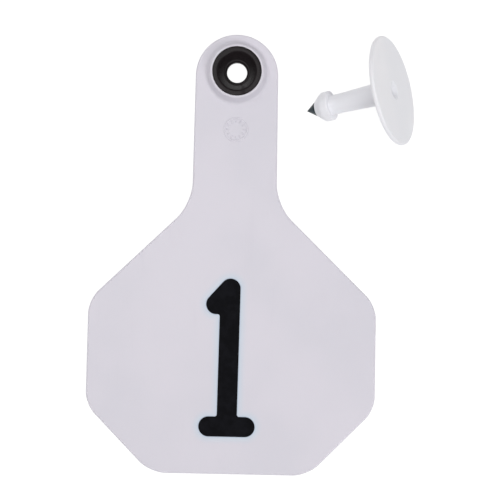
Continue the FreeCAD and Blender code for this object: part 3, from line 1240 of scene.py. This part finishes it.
@dataclass
class StudButton:
    """Disc, stem and barb in one moulding, with its blind pin hole, and the metal point."""

    node: str = "stud_button"
    tip_node: str = "piercing_tip"
    name: str = "button_moulding"
    tip_name: str = "metal_point"
    disc_radius: float = 13.9 * MM
    disc_thickness: float = 1.15 * MM
    disc_round: float = 0.45 * MM
    root_radius: float = 3.0 * MM
    root_fillet: float = 0.8 * MM
    neck_radius: float = 2.55 * MM
    neck_length: float = 3.0 * MM
    grip_length: float = 16.2 * MM
    barb_radius: float = 3.85 * MM
    barb_land: float = 2.15 * MM
    nose_angle: float = math.radians(41)
    nose_round: float = 1.2 * MM
    barb_back_round: float = 0.2 * MM
    mouth_radius: float = 2.3 * MM
    mouth_depth: float = 1.1 * MM
    tip_length: float = 2.9 * MM
    tip_base: float = 2.05 * MM
    tip_sink: float = 0.35 * MM
    shank_radius: float = 1.1 * MM
    shank_length: float = 3.2 * MM
    hole_end_round: float = 0.3 * MM
    mouth_inner_round: float = 0.5 * MM
    mouth_outer_round: float = 0.2 * MM
    neck_round: float = 0.15 * MM
    point_flat: float = 0.1 * MM
    point_round: float = 0.05 * MM
    steps: int = 128
    tip_steps: int = 96

    def __post_init__(self) -> None:
        """Work out the button's heights, and where it lies from its pin hole's mount."""
        hole = mount("applicator_pin_hole")
        self.hole_radius = hole["dims"]["r_mm"] * MM
        self.hole_depth = hole["dims"]["length_mm"] * MM
        self.barb_back = self.disc_thickness + self.grip_length
        self.barb_front = self.barb_back + self.barb_land
        nose = (self.barb_radius - self.tip_base) / math.tan(self.nose_angle)
        self.nose = self.barb_front + nose
        self.point = self.nose + self.tip_length
        out = Vector(hole["axis"]).normalized()
        face = Vector(hole["pos_m"]) + out * (self.mouth_depth + self.hole_depth / 2)
        self.laid = Matrix.Translation(face) @ (-out).to_track_quat("Z", "Y").to_matrix().to_4x4()

    def moulding(self) -> Piece:
        """The button's own moulding, upright, with the hole and the point's seat.

        Returns:
            The moulding.
        """
        hole_end = self.mouth_depth + self.hole_depth
        shank_end = self.nose - self.tip_sink - self.shank_length
        return turn(self.name, [
            Corner(0, hole_end), Corner(self.hole_radius, hole_end, self.hole_end_round, 4),
            Corner(self.hole_radius, self.mouth_depth, self.mouth_inner_round, 4),
            Corner(self.mouth_radius, 0, self.mouth_outer_round, 4),
            Corner(self.disc_radius, 0, self.disc_round, 6),
            Corner(self.disc_radius, self.disc_thickness, self.disc_round, 6),
            Corner(self.root_radius, self.disc_thickness, self.root_fillet, 8),
            Corner(self.neck_radius, self.barb_back - self.neck_length),
            Corner(self.neck_radius, self.barb_back, self.neck_round, 3),
            Corner(self.barb_radius, self.barb_back, self.barb_back_round, 4),
            Corner(self.barb_radius, self.barb_front, self.nose_round, 10),
            Corner(self.tip_base, self.nose),
            Corner(self.tip_base, self.nose - self.tip_sink),
            Corner(self.shank_radius, self.nose - self.tip_sink),
            Corner(self.shank_radius, shank_end), Corner(0, shank_end)], self.steps)

    def metal(self) -> Piece:
        """The metal point with its sunk head and shank, upright.

        Returns:
            The point.
        """
        head = self.nose - self.tip_sink
        return turn(self.tip_name, [
            Corner(0, head - self.shank_length),
            Corner(self.shank_radius, head - self.shank_length),
            Corner(self.shank_radius, head), Corner(self.tip_base, head),
            Corner(self.tip_base, self.nose, self.point_round, 3),
            Corner(self.point_flat, self.point, self.point_round, 3),
            Corner(0, self.point)], self.tip_steps)

    def build(self, plastic: Material, effects: Effects) -> None:
        """Model both pieces, lay them down and dress them.

        Args:
            plastic: The moulding's finish.
            effects: The shared node groups.
        """
        metal = TurnedMetal().build(effects, self.laid.inverted())
        for piece, material, slot, node in (
                (self.moulding(), plastic, Slot.BUTTON, self.node),
                (self.metal(), metal, Slot.TIP, self.tip_node)):
            lay(piece, self.laid)
            smooth(piece)
            finish_piece(piece, material, node)


def finish_piece(piece: Piece, material: Material,
                 node: str) -> None:
    """Dress a finished piece, seat it on the part's body and let it stand for its solid.

    Args:
        piece: The finished object.
        material: Its material.
        node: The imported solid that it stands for.
    """
    wear(piece, material)
    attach(piece, BODY)
    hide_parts(node)
    log.info("%s stands for %s with %d faces", piece.name, node, len(piece.data.polygons))


# ---- studio ----

@dataclass(frozen=True)
class Lamp:
    """One soft square lamp.

    Attributes:
        name: The lamp's name.
        offset: Where it hangs, from the part's middle.
        size: Its side.
        power: Its power in watts.
    """

    name: str
    offset: tuple[float, float, float]
    size: float
    power: float


LAMPS = (Lamp("key", (0.30, -0.30, 0.40), 0.25, 1.1),
         Lamp("side", (-0.25, 0.25, 0.30), 0.20, 0.15),
         Lamp("overhead", (-0.12, 0.08, 0.75), 0.50, 2.1))


@dataclass
class Studio:
    """Plain white floor, soft lamps and the camera that looks straight down."""

    floor_size: float = 2.4
    lens: float = 70.0
    sensor: float = 36.0
    camera_x: float = 4.388 * MM
    camera_y: float = -46.60 * MM
    camera_height: float = 255.8 * MM
    camera_turn: float = math.radians(1.22)
    clip_start: float = 0.01
    floor_gap: float = 0.02 * MM
    floor_white: float = 0.86
    floor_glow: float = 0.88
    floor_shadow: float = 0.22
    air_light: float = 0.42
    air_seen: float = 1.0

    def floor(self) -> None:
        """The floor, white to the camera but for the object's soft shadow."""
        clear_selection()
        bpy.ops.mesh.primitive_grid_add(x_subdivisions=8, y_subdivisions=8,
                                        size=self.floor_size, location=(0, 0, 0))
        piece = bpy.context.object
        piece.name = "studio_floor"
        lay(piece, Matrix.Translation((0, 0, -self.floor_gap)))
        material, sketch = new_material("studio_white")
        path = sketch.node("LightPath").outputs
        seen = sketch.math("MAXIMUM", path["Is Camera Ray"], path["Is Glossy Ray"])
        seen = sketch.math("MAXIMUM", seen, path["Is Transmission Ray"])
        plain = sketch.node("BsdfDiffuse", {"Color": (self.floor_white,) * 3 + (1.0,)})
        shadowed = sketch.node("BsdfDiffuse", {"Color": (self.floor_shadow,) * 3 + (1.0,)})
        white = sketch.node("Emission", {"Color": (1.0, 1.0, 1.0, 1.0),
                                         "Strength": self.floor_glow})
        bright = sketch.node("AddShader", {0: white.outputs[0], 1: shadowed.outputs[0]})
        both = sketch.node("MixShader", {0: seen, 1: plain.outputs[0], 2: bright.outputs[0]})
        sketch.node("OutputMaterial", {"Surface": both.outputs[0]})
        wear(piece, material)

    def world(self) -> None:
        """Even white surroundings."""
        world = bpy.data.worlds.new("studio_air")
        world.use_nodes = True
        sketch = Sketch(world.node_tree)
        path = sketch.node("LightPath").outputs
        strength = sketch.math("MULTIPLY_ADD", path["Is Camera Ray"],
                               self.air_seen - self.air_light, self.air_light)
        air = sketch.node("Background", {"Color": (1.0, 1.0, 1.0, 1.0), "Strength": strength})
        sketch.node("OutputWorld", {"Surface": air.outputs[0]})
        bpy.context.scene.world = world

    def lamp(self, lamp: Lamp, aim: Vector) -> None:
        """Hang one lamp.

        Args:
            lamp: The lamp's sizes.
            aim: The point that it faces.
        """
        data = bpy.data.lights.new(lamp.name, "AREA")
        data.size = lamp.size
        data.energy = lamp.power
        hung = bpy.data.objects.new(lamp.name, data)
        bpy.context.scene.collection.objects.link(hung)
        hung.location = aim + Vector(lamp.offset)
        hung.rotation_euler = (aim - hung.location).to_track_quat("-Z", "Y").to_euler()

    def camera(self, face_height: float) -> None:
        """The camera, square above the panel.

        Args:
            face_height: Height of the printed face.
        """
        data = bpy.data.cameras.new("camera")
        data.lens = self.lens
        data.sensor_width = self.sensor
        data.clip_start = self.clip_start
        camera = bpy.data.objects.new("camera", data)
        bpy.context.scene.collection.objects.link(camera)
        camera.location = (self.camera_x, self.camera_y, face_height + self.camera_height)
        camera.rotation_euler = (0.0, 0.0, self.camera_turn)
        bpy.context.scene.camera = camera

    def build(self, face_height: float) -> None:
        """Set up floor, air, lamps, camera and view.

        Args:
            face_height: Height of the printed face.
        """
        self.floor()
        self.world()
        middle = (CAD_BOX[0] + CAD_BOX[1]) / 2
        for lamp in LAMPS:
            self.lamp(lamp, middle)
        self.camera(face_height)
        bpy.context.scene.view_settings.view_transform = "Standard"


def main() -> None:
    """Build the tag's pieces in order, then the studio."""
    logging.basicConfig(level=logging.INFO, format="%(name)s: %(message)s")
    effects = Effects()
    numeral = InkNumeral()
    panel_plastic = MouldedPlastic("panel_satin", linear(216, 212, 221),
                                   linear(212, 209, 218), roughness=0.35)
    button_plastic = MouldedPlastic("button_satin", linear(241, 240, 244),
                                    linear(235, 235, 240), roughness=0.31)
    panel = TagPanel()
    panel.build(numeral, panel_plastic.build(effects, numeral.tint(effects)))
    LockingCollar().build(panel, StiffBlack().build(effects))
    numeral.dress(effects)
    StudButton().build(button_plastic.build(effects), effects)
    Studio().build(panel.face_height)


if __name__ == "__main__":
    main()
